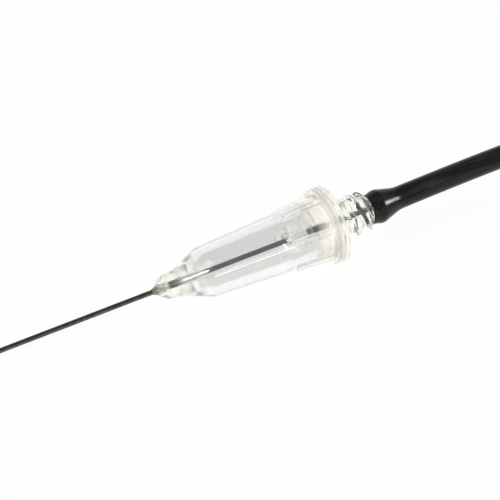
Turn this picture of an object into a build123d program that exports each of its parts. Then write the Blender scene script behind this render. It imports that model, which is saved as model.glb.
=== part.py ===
from build123d import *
import math
import os

# A multi-sample blood collection needle with a clear view chamber, lying at rest on its flange and its point.
# Millimetres and degrees. Stations run along the needle's axis: 0 is the front of the adhesive's shoulder, and
# they grow towards the tube side. Every turned piece is a profile of (station, radius) corners.

# Steel cannulas, 22 gauge
cannula_radius = 0.36
cannula_wall = 0.12
bare_length = 32.0
lancet_length = 2.9
side_grind_turn = 35.0
side_grind_slope = 19.0
tube_bevel_length = 2.2
bore_clearance = 0.02

# Outside of the view housing: nose, shoulder, tapered body and front flange plate
nose_face = 0.5
nose_lip = 0.12
nose_chamfer_length = 1.0
nose_front_radius = 1.76
nose_length = 2.05
nose_swell = 0.14
nose_blend = 0.8
shoulder_length = 4.35
shoulder_radius = 3.7
shoulder_blend = 2.5
body_length = 18.75
body_draft = 2.86
flange_rim = 1.08
flange_root = 0.35
flange_edge = 0.14
front_plate = 0.75

# Chamber inside the housing
nose_solid_length = 2.65
chamber_front_wall = 1.4
chamber_shoulder_lag = 0.55
housing_wall = 1.27
chamber_draft = 1.8
chamber_edge = 0.3

# Grip ribs on the housing, ahead of the flange
rib_count = 6
rib_length = 6.15
rib_height = 0.42
rib_width = 0.85
rib_ramp = 0.3
rib_sink = 0.4
rib_phase = 3.0

# Glue well in the nose, and the adhesive in it
well_mouth_gap = 0.32
well_floor_gap = 0.12
well_depth = 1.7
bead_length = 0.75
bead_edge = 0.03

# Threaded hub: plug, inner boss, rear flange plate and spigot
plug_length = 3.3
plug_step = 0.08
plug_clearance = 0.03
plug_lead = 0.25
seam_clearance = 0.03
rear_plate = 0.98
boss_length = 3.5
boss_wall = 1.45
boss_swell = 0.27
boss_edge = 0.55
socket_gap = 0.24
socket_depth = 1.2
cannula_end_gap = 0.45
seat_ledge = 0.1
passage_length = 2.2
collar_height = 0.4
collar_length = 0.65
seat_relief = 0.04
spigot_length = 5.79
spigot_shoulder = 0.7
spigot_chamfer = 0.25

# Double start thread that screws into a tube holder
thread_starts = 2
thread_pitch = 2.2
thread_height = 0.73
thread_crest_width = 0.6
thread_foot_width = 1.5
thread_sink = 0.1
thread_fade = 0.55
thread_phase = 110.0

# Barbed nipple that the sleeve is stretched over
nipple_wall = 1.22
nipple_neck_length = 1.0
barb_height = 0.33
barb_rise = 0.2
barb_land = 0.8
barb_tail = 0.35

# Rubber sleeve
sleeve_clearance = 0.02
sleeve_bore_gap = 0.26
sleeve_wall = 0.91
sleeve_length = 24.0
sleeve_mouth_wall = 0.56
sleeve_bead_wall = 0.5
sleeve_bead_edge = 0.2
sleeve_taper = 2.7
sleeve_blend = 2.0
sleeve_end_wall = 1.4
sleeve_end_edge = 0.5
point_to_sleeve_end = 1.2

# Stations that follow from those values
patient_point = -bare_length
patient_heel = patient_point + lancet_length
nose_chamfer_end = nose_face + nose_chamfer_length
nose_end = nose_chamfer_end + nose_length
shoulder_end = nose_end + shoulder_length
flange_front = shoulder_end + body_length
housing_back = flange_front + front_plate
well_floor = nose_face + well_depth
chamber_front = nose_end + nose_solid_length
chamber_shoulder = shoulder_end + chamber_shoulder_lag
plug_front = housing_back - plug_length
boss_front = plug_front - boss_length
socket_floor = boss_front + socket_depth
patient_cannula_end = socket_floor - cannula_end_gap
tube_cannula_seat = socket_floor + passage_length
hub_plate_front = housing_back + seam_clearance
hub_plate_back = hub_plate_front + rear_plate
thread_front = hub_plate_back + collar_length
spigot_end = hub_plate_back + spigot_length
barb_start = spigot_end + nipple_neck_length
barb_crest = barb_start + barb_rise
barb_end = barb_crest + barb_land
nipple_end = barb_end + barb_tail
sleeve_front = spigot_end + seam_clearance
sleeve_end = sleeve_front + sleeve_length
sleeve_bore_end = sleeve_end - sleeve_end_wall
tube_point = sleeve_bore_end - point_to_sleeve_end


def shoulder_outside(station):
    """Outer radius of the housing's shoulder."""
    return nose_back_radius + (station - nose_end) * (shoulder_radius - nose_back_radius) / shoulder_length


def body_radius(station):
    """Outer radius of the housing's tapered body."""
    return shoulder_radius + (station - shoulder_end) * math.tan(math.radians(body_draft))


def chamber_radius(station):
    """Inner radius of the chamber behind its shoulder."""
    start = body_radius(chamber_shoulder) - housing_wall
    return start + (station - chamber_shoulder) * math.tan(math.radians(chamber_draft))


# Radii that follow from those values
cannula_bore_radius = cannula_radius - cannula_wall
fit_radius = cannula_radius + bore_clearance
well_mouth_radius = fit_radius + well_mouth_gap
well_floor_radius = fit_radius + well_floor_gap
nose_back_radius = nose_front_radius + nose_swell
flange_radius = body_radius(flange_front) + flange_rim
chamber_front_radius = shoulder_outside(chamber_front) - chamber_front_wall
plug_seat_radius = chamber_radius(plug_front) + plug_step
plug_radius = plug_seat_radius - plug_clearance
socket_radius = cannula_radius + socket_gap
passage_radius = cannula_radius - seat_ledge
boss_front_radius = socket_radius + boss_wall
nipple_radius = fit_radius + nipple_wall
barb_radius = nipple_radius + barb_height
thread_root_radius = nipple_radius + spigot_shoulder
thread_crest_radius = thread_root_radius + thread_height
collar_radius = thread_root_radius + collar_height
seat_inner_radius = thread_crest_radius + seat_relief
sleeve_bore_radius = cannula_radius + sleeve_bore_gap
sleeve_radius = sleeve_bore_radius + sleeve_wall
sleeve_neck_radius = nipple_radius + sleeve_clearance
sleeve_barb_radius = barb_radius + sleeve_clearance


def turned(*corners):
    """A turned solid. Each corner is (station, radius) or (station, radius, rounding)."""
    points = [corner[:2] for corner in corners]
    roundings = [corner[2] if len(corner) > 2 else 0 for corner in corners]
    outline = FilletPolyline(*points, radius=roundings, close=True)
    return revolve(make_face(outline), Axis.X, 360)


def plate_rim(front, back):
    """Corners of a flange plate's rim, with both edges eased."""
    return [
        (front, flange_radius - flange_edge),
        (front + flange_edge, flange_radius),
        (back - flange_edge, flange_radius),
        (back, flange_radius - flange_edge),
    ]


def cannula(front, back):
    """A straight steel tube."""
    return turned(
        (front, cannula_bore_radius),
        (front, cannula_radius),
        (back, cannula_radius),
        (back, cannula_bore_radius),
    )


def bevel_slope(length):
    """Slope of a bevel that crosses the whole tube in this length."""
    return math.degrees(math.atan2(2 * cannula_radius, length))


def grind(point, slope, turn):
    """What one pass of the wheel takes off a tube whose point lies at its top, slope down from the point."""
    reach = 2 * (lancet_length + tube_bevel_length)
    block = Box(2 * reach, reach, reach, align=(Align.CENTER, Align.CENTER, Align.MAX))
    return Location((point, 0, cannula_radius)) * Rotation(turn, 0, 0) * Rotation(0, slope, 0) * block


def patient_cannula():
    """Steel tube with a lancet point, one long bevel and two side grinds, lying on its bevel's heel."""
    tube = cannula(patient_point, patient_cannula_end)
    tube -= grind(patient_point, bevel_slope(lancet_length), 0)
    tube -= grind(patient_point, side_grind_slope, side_grind_turn)
    tube -= grind(patient_point, side_grind_slope, -side_grind_turn)
    return tube


def tube_cannula():
    """Steel tube from its seat in the hub to the bevelled point that pierces a tube's stopper."""
    tube = cannula(tube_cannula_seat + bore_clearance, tube_point)
    return tube - grind(tube_point, -bevel_slope(tube_bevel_length), 0)


def rib():
    """One grip rib, standing up from the top of the body."""
    front = flange_front - rib_length
    back = flange_front + front_plate / 2
    outline = Polyline(
        (front, body_radius(front) - rib_sink),
        (front, body_radius(front) + rib_height - rib_ramp),
        (front + rib_ramp, body_radius(front) + rib_height),
        (back, body_radius(flange_front) + rib_height),
        (back, body_radius(flange_front) - rib_sink),
        close=True,
    )
    return extrude(Plane.XZ * make_face(outline), rib_width / 2, both=True)


def view_housing():
    """Clear moulding: solid nose with a glue well, hollow body, grip ribs and the front flange plate."""
    shell = turned(
        (nose_face, well_mouth_radius),
        (nose_face, well_mouth_radius + nose_lip),
        (nose_chamfer_end, nose_front_radius, nose_blend),
        (nose_end, nose_back_radius, shoulder_blend),
        (shoulder_end, shoulder_radius, shoulder_blend),
        (flange_front - flange_root, body_radius(flange_front - flange_root)),
        (flange_front, body_radius(flange_front) + flange_root),
        *plate_rim(flange_front, housing_back),
        (housing_back, plug_seat_radius + plug_lead),
        (housing_back - plug_lead, plug_seat_radius),
        (plug_front, plug_seat_radius),
        (plug_front, chamber_radius(plug_front)),
        (chamber_shoulder, chamber_radius(chamber_shoulder), shoulder_blend),
        (chamber_front + chamber_edge, chamber_front_radius),
        (chamber_front, chamber_front_radius - chamber_edge),
        (chamber_front, fit_radius),
        (well_floor, fit_radius),
        (well_floor, well_floor_radius),
    )
    for number in range(rib_count):
        shell += Rotation(rib_phase + number * 360 / rib_count, 0, 0) * rib()
    return shell


def nose_adhesive():
    """Cured adhesive that fills the glue well and rises to a small bead round the cannula."""
    return turned(
        (nose_face - bead_length, fit_radius),
        (nose_face - bead_length, fit_radius + bead_edge),
        (nose_face - bore_clearance, well_mouth_radius - bore_clearance),
        (well_floor - bore_clearance, well_floor_radius - bore_clearance),
        (well_floor - bore_clearance, fit_radius),
    )


def thread_ridge():
    """One start of the thread: its section swept up a right-handed helix, a pitch too long at both ends."""
    lead = thread_pitch * thread_starts
    height = spigot_end - thread_front + 2 * thread_pitch
    path = Edge.make_helix(lead, height, thread_root_radius, center=(0, 0, -thread_pitch))
    section = Polyline(
        (thread_root_radius - thread_sink, -thread_foot_width / 2),
        (thread_crest_radius, -thread_crest_width / 2),
        (thread_crest_radius, thread_crest_width / 2),
        (thread_root_radius - thread_sink, thread_foot_width / 2),
        close=True,
    )
    return sweep(Plane.XZ * Location((0, -thread_pitch, 0)) * make_face(section), path=path, is_frenet=True)


def thread():
    """All starts of the thread, trimmed to the spigot and brought down to it ahead of its chamfer."""
    foot_radius = thread_root_radius - thread_sink
    over_radius = thread_crest_radius + thread_height
    fade_back = spigot_end - spigot_chamfer
    drop = (thread_crest_radius - foot_radius) / thread_fade
    envelope = turned(
        (thread_front, fit_radius),
        (thread_front, over_radius),
        (fade_back - (over_radius - foot_radius) / drop, over_radius),
        (fade_back + thread_sink / drop, foot_radius - thread_sink),
        (fade_back + thread_sink / drop, fit_radius),
    )
    ridge = Location((thread_front, 0, 0)) * Rotation(0, 90, 0) * thread_ridge()
    turns = [thread_phase + number * 360 / thread_starts for number in range(thread_starts)]
    return [Rotation(turn, 0, 0) * ridge & envelope for turn in turns]


def threaded_hub():
    """Clear moulding: boss and plug inside the housing, rear flange plate, threaded spigot, barbed nipple."""
    core = turned(
        (boss_front, socket_radius),
        (boss_front, boss_front_radius - boss_edge),
        (boss_front + boss_edge, boss_front_radius),
        (plug_front + plug_clearance, boss_front_radius + boss_swell),
        (plug_front + plug_clearance, plug_radius),
        (hub_plate_front, plug_radius),
        *plate_rim(hub_plate_front, hub_plate_back),
        (hub_plate_back, seat_inner_radius),
        (hub_plate_back + seat_inner_radius - collar_radius, collar_radius),
        (thread_front, collar_radius),
        (thread_front, thread_root_radius),
        (spigot_end - spigot_chamfer, thread_root_radius),
        (spigot_end, thread_root_radius - spigot_chamfer),
        (spigot_end, nipple_radius),
        (barb_start, nipple_radius),
        (barb_crest, barb_radius),
        (barb_end, barb_radius),
        (nipple_end, nipple_radius),
        (nipple_end, fit_radius),
        (tube_cannula_seat, fit_radius),
        (tube_cannula_seat, passage_radius),
        (socket_floor, passage_radius),
        (socket_floor, socket_radius),
    )
    return core + thread()


def rubber_sleeve():
    """Closed rubber tube, stretched over the barbed nipple and relaxed behind it."""
    mouth_radius = sleeve_neck_radius + sleeve_mouth_wall
    bead_radius = sleeve_barb_radius + sleeve_bead_wall
    taper_end = barb_end + sleeve_taper
    return turned(
        (sleeve_front, sleeve_neck_radius),
        (sleeve_front, mouth_radius),
        (barb_start, (mouth_radius + bead_radius) / 2),
        (barb_crest, bead_radius),
        (barb_end, bead_radius),
        (barb_end + sleeve_bead_edge, bead_radius - sleeve_bead_edge),
        (taper_end, sleeve_radius, sleeve_blend),
        (sleeve_end - sleeve_end_edge, sleeve_radius),
        (sleeve_end, sleeve_radius - sleeve_end_edge),
        (sleeve_end, 0),
        (sleeve_bore_end, 0),
        (sleeve_bore_end, sleeve_bore_radius),
        (taper_end, sleeve_bore_radius),
        (nipple_end + sleeve_clearance, sleeve_neck_radius),
        (barb_end, sleeve_barb_radius),
        (barb_crest, sleeve_barb_radius),
        (barb_start, sleeve_neck_radius),
    )


def rest_tilt():
    """How far the nose dips when the flange's front edge and the heel of the needle's bevel touch the table."""
    run = flange_front + flange_edge - patient_heel
    return math.degrees(math.atan2(flange_radius - cannula_radius, run))


pieces = {
    "patient_cannula": patient_cannula(),
    "nose_adhesive": nose_adhesive(),
    "view_housing": view_housing(),
    "threaded_hub": threaded_hub(),
    "tube_cannula": tube_cannula(),
    "rubber_sleeve": rubber_sleeve(),
}

# The origin is under the middle of the resting needle, with the tube side towards +X
tilt = Rotation(0, -rest_tilt(), 0)
box = Compound(children=[tilt * piece for piece in pieces.values()]).bounding_box()
place = Location((-box.center().X, -box.center().Y, -box.min.Z)) * tilt

os.makedirs("parts", exist_ok=True)
for name, piece in pieces.items():
    export_step((place * piece).solid(), f"parts/{name}.step")

points = {
    "flange back": (hub_plate_back, 0, (seat_inner_radius + flange_radius) / 2),
    "thread middle": ((thread_front + spigot_end) / 2, 0, 0),
    "sleeve middle": ((barb_end + sleeve_taper + sleeve_end) / 2, 0, 0),
    "needle middle": (patient_point / 2, 0, 0),
    "axis origin": (0, 0, 0),
    "one millimetre along the axis": (1, 0, 0),
}
for name, point in points.items():
    print(name, (place * Location(point)).position)
print("dip of the nose", rest_tilt(), "size", box.size)
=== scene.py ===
"""A blood collection needle with a clear view chamber, on a plain white table under soft light. Metres."""
import math
import bmesh
import bpy
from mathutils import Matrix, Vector


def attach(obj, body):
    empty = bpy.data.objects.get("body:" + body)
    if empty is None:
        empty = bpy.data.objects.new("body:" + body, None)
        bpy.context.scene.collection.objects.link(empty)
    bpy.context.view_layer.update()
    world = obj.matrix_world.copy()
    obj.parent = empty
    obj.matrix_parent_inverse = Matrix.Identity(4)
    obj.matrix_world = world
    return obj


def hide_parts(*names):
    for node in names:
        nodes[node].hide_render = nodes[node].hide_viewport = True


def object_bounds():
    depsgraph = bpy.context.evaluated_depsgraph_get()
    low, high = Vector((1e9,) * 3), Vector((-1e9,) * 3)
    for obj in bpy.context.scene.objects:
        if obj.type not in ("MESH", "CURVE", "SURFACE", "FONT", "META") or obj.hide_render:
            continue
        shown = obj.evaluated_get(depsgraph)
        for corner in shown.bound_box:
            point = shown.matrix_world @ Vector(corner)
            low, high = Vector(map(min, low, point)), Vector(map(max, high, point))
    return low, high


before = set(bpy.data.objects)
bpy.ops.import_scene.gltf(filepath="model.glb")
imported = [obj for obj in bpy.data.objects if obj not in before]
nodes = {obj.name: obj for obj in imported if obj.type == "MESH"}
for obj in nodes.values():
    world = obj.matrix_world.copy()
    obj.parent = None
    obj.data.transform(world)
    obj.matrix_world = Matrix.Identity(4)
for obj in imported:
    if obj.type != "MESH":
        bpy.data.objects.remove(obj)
cad_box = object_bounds()

# Camera, matched to the photograph
camera_azimuth = -26.868
camera_elevation = 35.870
camera_distance = 0.350
camera_aim = Vector((0.003458, 0.002909, 0.003026))
camera_lens = 176.37
camera_near = 0.01
sensor_width = 36.0

# Lamps, as (name, azimuth, elevation, distance, width, height, power), in degrees, metres and watts
soft_lamps = (
    ("key", -60, 60, 0.7, 0.5, 0.5, 1.45),
    ("fill", 60, 45, 0.8, 0.5, 0.5, 0.8),
)
glint_lamps = (
    ("streak", 59.6, 27.4, 0.7, 0.16, 0.15, 4.2),
    ("glint", -45, 28.5, 0.7, 0.12, 0.10, 3.0),
    ("strip", 6, 7.5, 0.7, 0.28, 0.06, 0.27),
)

# The white table and the room, with levels of light where 1 is white
table_size = 6.0
table_level = 0.93
table_roughness = 0.9
table_glow = 0.94
room_light = 0.55
room_near = 0.20
room_far = 0.95
room_top = 0.28
room_through_plastic = 0.95
room_behind_part = 1.0
room_depth_blend = (-0.3, 0.3)
room_height_blend = (0.2, 0.8)

# The needle's own axis in the frame: stations run along it and radii across it, both in millimetres
axis_origin = Vector((-0.0130871, 0.0, 0.00313469))
axis_dip = math.radians(5.474723)
millimetre = 0.001

# The stretched rubber sleeve, as curves through (station, radius) points
sleeve_radius = 1.66
sleeve_lip = (34.40, 2.19)
sleeve_turn = (57.50, sleeve_radius)
sleeve_mouth = ((34.23, 1.64), (34.23, 2.06), (34.28, 2.15), sleeve_lip)
sleeve_body = (
    sleeve_lip, (34.80, 2.27), (35.15, 2.37), (35.45, 2.46), (35.75, 2.49), (36.10, 2.47), (36.40, 2.38),
    (37.00, 2.20), (37.70, 2.00), (38.30, 1.83), (38.80, 1.72), (39.30, 1.67), (40.00, sleeve_radius),
    (48.00, sleeve_radius), sleeve_turn,
)
sleeve_end = (sleeve_turn, (57.90, 1.61), (58.15, 1.48), (58.23, 1.30), (58.23, 0.60))
sleeve_edge_steps = 6
sleeve_body_steps = 8
sleeve_segments = 128
shared_point_reach = 1e-7

# The sleeve's middle line sags at the bead and rises towards its end, between two stations
lean_start = 35.5
lean_end = 58.0
sag_at_bead = 0.12
rise_at_end = 0.20

# Levels of a ramp, before and after its reach
rising = (0.0, 1.0)
falling = (1.0, 0.0)

# Drawn steel. Here and below a texture is (scale, detail), a relief (strength, depth in metres), and a
# blend is where one look gives way to the other
steel_colour = (0.100, 0.092, 0.082, 1)
steel_worn_colour = (0.135, 0.125, 0.112, 1)
# Painted shade: from a station near the nose's front on, the steel takes a darker, bluer colour where it runs
# inside the plastic
steel_painted_shade_colour = (0.052, 0.055, 0.060, 1)
steel_painted_shade_stations = (0.8, 1.6)
steel_streaks = (14000.0, 3.0)
steel_streak_stretch = 40.0
steel_streak_blend = (0.3, 0.7)
steel_roughness = (0.20, 0.34)
steel_wear = (900.0, 2.0)
steel_wear_blend = (0.35, 0.65)
steel_relief = (0.25, 0.000004)

# Cured adhesive
adhesive_colour = (0.56, 0.535, 0.42, 1)
adhesive_pale_colour = (0.62, 0.595, 0.48, 1)
adhesive_bubbles = (4500.0, 2.0)
adhesive_bubble_blend = (0.4, 0.65)
adhesive_clearness = (0.85, 0.6)
adhesive_roughness = 0.06
adhesive_index = 1.5
adhesive_relief = (0.12, 0.00001)

# Black rubber
rubber_colour = (0.0065, 0.0060, 0.0045, 1)
rubber_bloom_colour = (0.016, 0.0152, 0.0125, 1)
rubber_bloom = (1300.0, 4.0)
rubber_bloom_stretch = 8.0
rubber_bloom_blend = (0.4, 0.75)
rubber_roughness = (0.25, 0.38)
rubber_specular = 0.24
rubber_grain = (9000.0, 3.0)
rubber_relief = (0.15, 0.00002)

# Clear plastic, with its tint, milkiness and roughness as (station, level) stops up to a last station
clear_colour = (0.97, 0.97, 0.96, 1)
flange_colour = (0.930, 0.920, 0.862, 1)
tint_stops = (
    (0.5, (0.935, 0.925, 0.86, 1)),
    (5.0, (0.955, 0.947, 0.895, 1)),
    (9.0, clear_colour),
    (23.5, clear_colour),
    (27.2, flange_colour),
    (28.4, flange_colour),
    (29.2, (0.965, 0.955, 0.91, 1)),
)
haze_stops = (
    (3.0, 0.03), (4.4, 0.22), (6.6, 0.22), (7.3, 0.0), (24.8, 0.0), (27.0, 0.2), (28.4, 0.2), (29.0, 0.03),
)
finish_stops = (
    (3.0, 0.05), (4.6, 0.16), (6.6, 0.16), (7.6, 0.03), (19.0, 0.03), (20.5, 0.12), (26.5, 0.20),
    (28.4, 0.20), (28.8, 0.04),
)
last_station = 40.0
plastic_index = 1.52
coat_roughness = 0.04

# Clear plastic, inside its chamber: a slightly tapered space between two stations, whose walls are painted
# greyer as shade
chamber_painted_shade_colour = (0.70, 0.705, 0.69, 1)
chamber_roughness = (0.0, 0.10)
chamber_front = (6.0, 6.2)
chamber_back = (26.2, 26.7)
chamber_taper_start = 8.45
chamber_radius = 3.1
chamber_growth = 0.0407
chamber_wall_blend = (-0.1, 0.1)

# Clear plastic, where adhesive fills the bore or a weld joins the mouldings and nothing bends the light
bonded_index = 1.0
glued_radius = (0.45, 0.5)
glued_nose = (6.3, 6.4)
glued_seat = (23.95, 26.8)
glued_seat_blend = 0.05
weld_radius = (2.97, 3.06)
weld_length = (24.0, 27.3)
weld_length_blend = 0.05
weld_lead_radius = (2.70, 3.0)
weld_lead_length = (23.95, 24.3)
weld_lead_blend = 0.02
weld_radius_blend = 0.01

# Clear plastic, its fine relief: a ripple everywhere, and a grain in the nose and round the boss
ripple_texture = (350.0, 2.0)
grain_texture = (2400.0, 2.0)
grain_share = 2.2
grain_nose = (5.4, 7.0)
grain_boss = (20.0, 24.2)
grain_boss_blend = 0.1
grain_boss_radius = (2.4, 2.8)
plastic_relief = (0.08, 0.0001)

# Places of a Mix node's colour sockets
mix_factor = 0
mix_first_colour = 6
mix_second_colour = 7
mix_mixed_colour = 2


def direction(azimuth, elevation):
    """Unit vector towards an azimuth and elevation in degrees, azimuth 0 being the -Y side."""
    a, e = math.radians(azimuth), math.radians(elevation)
    return Vector((math.sin(a) * math.cos(e), -math.cos(a) * math.cos(e), math.sin(e)))


def node_tree(name):
    """A new material with its node tree and its Principled shader."""
    material = bpy.data.materials.new(name)
    material.use_nodes = True
    return material, material.node_tree, material.node_tree.nodes["Principled BSDF"]


def feed(tree, value, socket):
    """Links another node's socket to this one, or sets this one to a plain number, vector or colour."""
    if isinstance(value, bpy.types.NodeSocket):
        tree.links.new(value, socket)
    else:
        socket.default_value = value


def feed_all(tree, node, values):
    """Feeds several of a node's inputs, by name."""
    for name, value in values.items():
        feed(tree, value, node.inputs[name])


def add(tree, kind, **values):
    """A new node with its properties set and its inputs fed."""
    node = tree.nodes.new(kind)
    for name, value in values.items():
        if name in node.inputs:
            feed(tree, value, node.inputs[name])
        else:
            setattr(node, name, value)
    return node


def ramp(tree, value, reach, levels):
    """The first level up to the reach's start, the second from its end on, and smooth in between."""
    node = add(tree, "ShaderNodeMapRange", interpolation_type="SMOOTHSTEP")
    names = ("Value", "From Min", "From Max", "To Min", "To Max")
    feed_all(tree, node, dict(zip(names, (value, *reach, *levels))))
    return node.outputs["Result"]


def math_node(tree, operation, *values):
    """A Math node on two sockets or numbers."""
    node = add(tree, "ShaderNodeMath", operation=operation)
    for value, socket in zip(values, node.inputs):
        feed(tree, value, socket)
    return node.outputs[0]


def pick(tree, switch, off, on):
    """off where the switch is 0 and on where it is 1; both may be sockets or numbers."""
    node = add(tree, "ShaderNodeMix", data_type="FLOAT", Factor=switch, A=off, B=on)
    return node.outputs["Result"]


def mix_colour(tree, factor, first, second):
    """A Mix node between two colours, either of which may be a socket."""
    node = add(tree, "ShaderNodeMix", data_type="RGBA")
    for slot, value in ((mix_factor, factor), (mix_first_colour, first), (mix_second_colour, second)):
        feed(tree, value, node.inputs[slot])
    return node.outputs[mix_mixed_colour]


def band(tree, value, stretch, blend):
    """1 inside the stretch and 0 outside, with a blend on either side of it."""
    start, end = stretch
    rise = ramp(tree, value, (start - blend, start), rising)
    fall = ramp(tree, value, (end, end + blend), falling)
    return math_node(tree, "MULTIPLY", rise, fall)


def along(tree, station, stops):
    """A colour or a level that changes along the axis, from (station, colour) stops."""
    node = add(tree, "ShaderNodeValToRGB", Fac=math_node(tree, "DIVIDE", station, last_station))
    elements = node.color_ramp.elements
    while len(elements) < len(stops):
        elements.new(0.5)
    for element, (place, colour) in zip(elements, stops):
        element.position = place / last_station
        element.color = colour if isinstance(colour, tuple) else (colour, colour, colour, 1)
    return node.outputs[0]


def part_space(tree):
    """Coordinates that stay with the part."""
    return add(tree, "ShaderNodeTexCoord").outputs["Object"]


def needle_space(tree):
    """Station along the needle's axis and distance from it, both in millimetres."""
    local = add(
        tree, "ShaderNodeMapping", vector_type="TEXTURE", Vector=part_space(tree), Location=axis_origin,
        Rotation=(0, -axis_dip, 0), Scale=(millimetre, millimetre, millimetre),
    )
    split = add(tree, "ShaderNodeSeparateXYZ", Vector=local.outputs["Vector"])
    across = add(tree, "ShaderNodeCombineXYZ", Y=split.outputs["Y"], Z=split.outputs["Z"])
    length = add(tree, "ShaderNodeVectorMath", operation="LENGTH", Vector=across.outputs["Vector"])
    return split.outputs["X"], length.outputs["Value"]


def noise(tree, texture, stretch=None):
    """A noise level that stays with the part, drawn out along the needle if a stretch is given."""
    scale, detail = texture
    space = part_space(tree)
    if stretch:
        local = add(
            tree, "ShaderNodeMapping", vector_type="TEXTURE", Vector=space, Rotation=(0, -axis_dip, 0),
            Scale=(stretch, 1, 1),
        )
        space = local.outputs["Vector"]
    return add(tree, "ShaderNodeTexNoise", Vector=space, Scale=scale, Detail=detail).outputs["Fac"]


def bump(tree, height, relief):
    """A normal that follows a height."""
    strength, depth = relief
    return add(tree, "ShaderNodeBump", Strength=strength, Distance=depth, Height=height).outputs["Normal"]


def surface_mix(tree, factor, first, second):
    """Puts the mix of two shader nodes on the material's surface."""
    mix = add(tree, "ShaderNodeMixShader")
    for value, socket in zip((factor, first.outputs[0], second.outputs[0]), mix.inputs):
        tree.links.new(value, socket)
    tree.links.new(mix.outputs[0], tree.nodes["Material Output"].inputs["Surface"])


def steel(name):
    """Drawn stainless tube: dark against the white table, streaked along its length, and painted darker as
    shade where it runs inside the plastic.
    """
    material, tree, shader = node_tree(name)
    station, _ = needle_space(tree)
    streaks = noise(tree, steel_streaks, steel_streak_stretch)
    worn = ramp(tree, noise(tree, steel_wear), steel_wear_blend, rising)
    open_air = mix_colour(tree, worn, steel_colour, steel_worn_colour)
    # Painted shade: past the nose's front the steel is painted darker
    painted_shade_share = ramp(tree, station, steel_painted_shade_stations, rising)
    feed_all(tree, shader, {
        "Base Color": mix_colour(tree, painted_shade_share, open_air, steel_painted_shade_colour),
        "Metallic": 1.0,
        "Roughness": ramp(tree, streaks, steel_streak_blend, steel_roughness),
        "Normal": bump(tree, streaks, steel_relief),
    })
    return material


def adhesive(name):
    """Cured adhesive with an olive tint and a few tiny bubbles."""
    material, tree, shader = node_tree(name)
    bubbles = noise(tree, adhesive_bubbles)
    cloudy = ramp(tree, bubbles, adhesive_bubble_blend, rising)
    feed_all(tree, shader, {
        "Base Color": mix_colour(tree, cloudy, adhesive_colour, adhesive_pale_colour),
        "Transmission Weight": ramp(tree, cloudy, rising, adhesive_clearness),
        "Roughness": adhesive_roughness,
        "IOR": adhesive_index,
        "Normal": bump(tree, bubbles, adhesive_relief),
    })
    return material


def rubber(name):
    """Black moulded rubber: satin, with a fine grain, a faint dusty bloom and soft marks along its length."""
    material, tree, shader = node_tree(name)
    bloom = noise(tree, rubber_bloom, rubber_bloom_stretch)
    dusty = ramp(tree, bloom, rubber_bloom_blend, rising)
    feed_all(tree, shader, {
        "Base Color": mix_colour(tree, dusty, rubber_colour, rubber_bloom_colour),
        "Specular IOR Level": rubber_specular,
        "Roughness": ramp(tree, dusty, rising, rubber_roughness),
        "Normal": bump(tree, noise(tree, rubber_grain), rubber_relief),
    })
    return material


def chamber_inside(tree, station, radius):
    """1 inside the housing's chamber and 0 outside."""
    growth = math_node(tree, "SUBTRACT", station, chamber_taper_start)
    wall = math_node(tree, "ADD", math_node(tree, "MULTIPLY", growth, chamber_growth), chamber_radius)
    within = ramp(tree, math_node(tree, "SUBTRACT", wall, radius), chamber_wall_blend, rising)
    ahead = ramp(tree, station, chamber_back, falling)
    behind = ramp(tree, station, chamber_front, rising)
    return math_node(tree, "MULTIPLY", math_node(tree, "MULTIPLY", within, ahead), behind)


def bonded(tree, station, radius):
    """1 where the plastic is glued or welded to its neighbour, otherwise 0."""
    in_nose = ramp(tree, station, glued_nose, falling)
    in_seat = band(tree, station, glued_seat, glued_seat_blend)
    at_bore = ramp(tree, radius, glued_radius, falling)
    glued = math_node(tree, "MULTIPLY", at_bore, math_node(tree, "MAXIMUM", in_nose, in_seat))
    welded = math_node(
        tree, "MULTIPLY",
        band(tree, radius, weld_radius, weld_radius_blend),
        band(tree, station, weld_length, weld_length_blend),
    )
    lead = math_node(
        tree, "MULTIPLY",
        band(tree, radius, weld_lead_radius, weld_radius_blend),
        band(tree, station, weld_lead_length, weld_lead_blend),
    )
    return math_node(tree, "MAXIMUM", math_node(tree, "MAXIMUM", glued, lead), welded)


def plastic_height(tree, station, radius):
    """The plastic's fine relief: a ripple, and a grain in the nose and round the boss."""
    boss = math_node(
        tree, "MULTIPLY",
        band(tree, station, grain_boss, grain_boss_blend),
        ramp(tree, radius, grain_boss_radius, falling),
    )
    grained = math_node(tree, "MAXIMUM", ramp(tree, station, grain_nose, falling), boss)
    grain = math_node(tree, "MULTIPLY", noise(tree, grain_texture), grained)
    return math_node(
        tree, "ADD", noise(tree, ripple_texture), math_node(tree, "MULTIPLY", grain, grain_share)
    )


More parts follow.
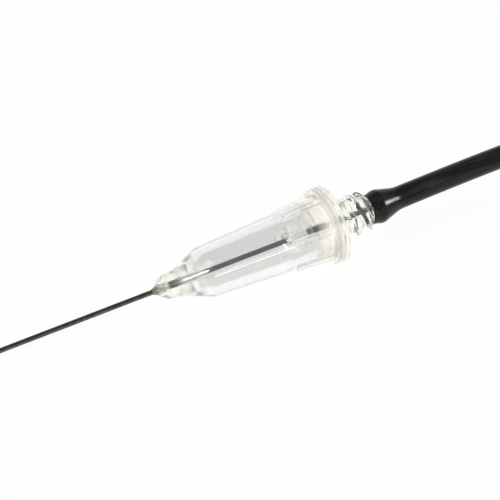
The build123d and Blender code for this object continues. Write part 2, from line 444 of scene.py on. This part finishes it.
def clear_plastic(name, has_chamber):
    """Clear moulded plastic: milkier where it is thick, greyer on its chamber's walls as painted shade,
    unseen where it is bonded, and open to the lamps.
    """
    material, tree, shader = node_tree(name)
    station, radius = needle_space(tree)
    colour = along(tree, station, tint_stops)
    finish = along(tree, station, finish_stops)
    if has_chamber:
        inside = chamber_inside(tree, station, radius)
        # Painted shade: the chamber's walls take a greyer colour than the rest of the moulding
        colour = mix_colour(tree, inside, colour, chamber_painted_shade_colour)
        finish = math_node(tree, "MAXIMUM", finish, ramp(tree, inside, rising, chamber_roughness))
        feed_all(tree, shader, {"Coat Weight": 1.0, "Coat Roughness": coat_roughness})
    # The socket's own index stays under its link, for readers that drop the link
    shader.inputs["IOR"].default_value = plastic_index
    feed_all(tree, shader, {
        "Base Color": colour,
        "Roughness": finish,
        "Transmission Weight": math_node(tree, "SUBTRACT", 1.0, along(tree, station, haze_stops)),
        "IOR": ramp(tree, bonded(tree, station, radius), rising, (plastic_index, bonded_index)),
        "Normal": bump(tree, plastic_height(tree, station, radius), plastic_relief),
    })
    path = add(tree, "ShaderNodeLightPath")
    surface_mix(tree, path.outputs["Is Shadow Ray"], shader, add(tree, "ShaderNodeBsdfTransparent"))
    return material


def dress(node, material):
    """Gives a CAD node its material."""
    mesh = nodes[node].data
    mesh.materials.clear()
    mesh.materials.append(material)


def smooth(points, steps):
    """A Catmull-Rom line through (station, radius) points."""
    line = []
    for place in range(len(points) - 1):
        before = points[max(place - 1, 0)]
        start, end = points[place], points[place + 1]
        after = points[min(place + 2, len(points) - 1)]
        for step in range(steps):
            t = step / steps
            line.append(tuple(
                0.5 * (
                    2 * b + (c - a) * t + (2 * a - 5 * b + 4 * c - d) * t**2 + (3 * b - a - 3 * c + d) * t**3
                )
                for a, b, c, d in zip(before, start, end, after)
            ))
    line.append(points[-1])
    return line


def sleeve_sag(station):
    """How far the sleeve hangs below the needle's axis, in millimetres; further back it rises above it."""
    share = min(max((station - lean_start) / (lean_end - lean_start), 0.0), 1.0)
    return sag_at_bead * (1 - share) ** 2 - rise_at_end * (1 - (1 - share) ** 2)


def sleeve_rings(mesh):
    """Rings of points along the sleeve, from its rolled mouth to its closed end."""
    along_axis = Vector((math.cos(axis_dip), 0, math.sin(axis_dip)))
    across = Vector((0, 1, 0))
    under = across.cross(along_axis)
    down_in_picture = along_axis.cross(direction(camera_azimuth, camera_elevation)).normalized()
    outline = (
        smooth(sleeve_mouth, sleeve_edge_steps)
        + smooth(sleeve_body, sleeve_body_steps)
        + smooth(sleeve_end, sleeve_edge_steps)
    )
    rings = []
    for station, radius in outline:
        middle = axis_origin + (along_axis * station + down_in_picture * sleeve_sag(station)) * millimetre
        ring = []
        for step in range(sleeve_segments):
            angle = 2 * math.pi * step / sleeve_segments
            spoke = across * math.cos(angle) + under * math.sin(angle)
            ring.append(mesh.verts.new(middle + spoke * radius * millimetre))
        rings.append(ring)
    return rings


def sleeve():
    """The rubber sleeve: rolled mouth, bead over the barb, stretched taper and plain closed end."""
    mesh = bmesh.new()
    rings = sleeve_rings(mesh)
    for first, second in zip(rings, rings[1:]):
        for step in range(sleeve_segments):
            following = (step + 1) % sleeve_segments
            mesh.faces.new((first[step], second[step], second[following], first[following]))
    mesh.faces.new(rings[0])
    mesh.faces.new(rings[-1])
    bmesh.ops.remove_doubles(mesh, verts=mesh.verts, dist=shared_point_reach)
    bmesh.ops.recalc_face_normals(mesh, faces=mesh.faces)
    for face in mesh.faces:
        face.smooth = True
    data = bpy.data.meshes.new("stretched_sleeve")
    mesh.to_mesh(data)
    mesh.free()
    piece = bpy.data.objects.new("stretched_sleeve", data)
    bpy.context.scene.collection.objects.link(piece)
    data.materials.append(rubber("black_rubber"))
    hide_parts("rubber_sleeve")
    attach(piece, "root")


def floor():
    """The white table, level with the lowest point of the part, and near white when it is looked at."""
    bpy.ops.mesh.primitive_plane_add(size=table_size, location=(0, 0, cad_box[0][2]))
    table = bpy.context.object
    table.name = "table"
    material, tree, shader = node_tree("table_white")
    feed_all(tree, shader, {
        "Base Color": (table_level, table_level, table_level, 1),
        "Roughness": table_roughness,
    })
    path = add(tree, "ShaderNodeLightPath").outputs
    mirrored = math_node(tree, "MAXIMUM", path["Is Camera Ray"], path["Is Glossy Ray"])
    looked_at = math_node(tree, "MAXIMUM", mirrored, path["Is Transmission Ray"])
    glow = add(tree, "ShaderNodeEmission", Strength=1.0)
    surface_mix(tree, math_node(tree, "MULTIPLY", looked_at, table_glow), shader, glow)
    table.data.materials.append(material)


def room():
    """A soft room: pale beyond the part and darker overhead, and white behind the part for the camera."""
    world = bpy.data.worlds.new("room")
    bpy.context.scene.world = world
    world.use_nodes = True
    tree = world.node_tree
    coordinates = add(tree, "ShaderNodeTexCoord")
    split = add(tree, "ShaderNodeSeparateXYZ", Vector=coordinates.outputs["Generated"])
    path = add(tree, "ShaderNodeLightPath").outputs
    horizon = ramp(tree, split.outputs["Y"], room_depth_blend, (room_near, room_far))
    height = ramp(tree, split.outputs["Z"], room_height_blend, rising)
    glow = pick(tree, path["Is Glossy Ray"], room_light, pick(tree, height, horizon, room_top))
    glow = pick(tree, path["Is Transmission Ray"], glow, room_through_plastic)
    glow = pick(tree, path["Is Camera Ray"], glow, room_behind_part)
    feed_all(tree, tree.nodes["Background"], {"Color": (1, 1, 1, 1), "Strength": glow})


def aim(name, data, centre, azimuth, elevation, distance):
    """A new lamp or camera that looks at a place from a direction."""
    holder = bpy.data.objects.new(name, data)
    bpy.context.scene.collection.objects.link(holder)
    towards = direction(azimuth, elevation)
    holder.location = centre + towards * distance
    holder.rotation_euler = towards.to_track_quat("Z", "Y").to_euler()
    return holder


def softbox(name, azimuth, elevation, distance, width, height, power, mirrored):
    """A rectangular lamp over the part, which is either only mirrored in it or only lights it."""
    lamp = bpy.data.lights.new(name, "AREA")
    lamp.shape = "RECTANGLE"
    lamp.size = width
    lamp.size_y = height
    lamp.energy = power
    holder = aim(name, lamp, Vector((0, 0, 0)), azimuth, elevation, distance)
    holder.visible_glossy = mirrored
    holder.visible_diffuse = not mirrored


def camera():
    """The photograph's camera."""
    data = bpy.data.cameras.new("camera")
    data.sensor_width = sensor_width
    data.lens = camera_lens
    data.clip_start = camera_near
    bpy.context.scene.camera = aim(
        "camera", data, camera_aim, camera_azimuth, camera_elevation, camera_distance
    )


dress("patient_cannula", steel("drawn_steel"))
dress("tube_cannula", steel("drawn_steel_rear"))
dress("nose_adhesive", adhesive("olive_adhesive"))
dress("view_housing", clear_plastic("clear_housing_plastic", has_chamber=True))
dress("threaded_hub", clear_plastic("clear_hub_plastic", has_chamber=False))
sleeve()

floor()
room()
for lamp in soft_lamps:
    softbox(*lamp, mirrored=False)
for lamp in glint_lamps:
    softbox(*lamp, mirrored=True)
camera()

bpy.context.scene.view_settings.view_transform = "Standard"
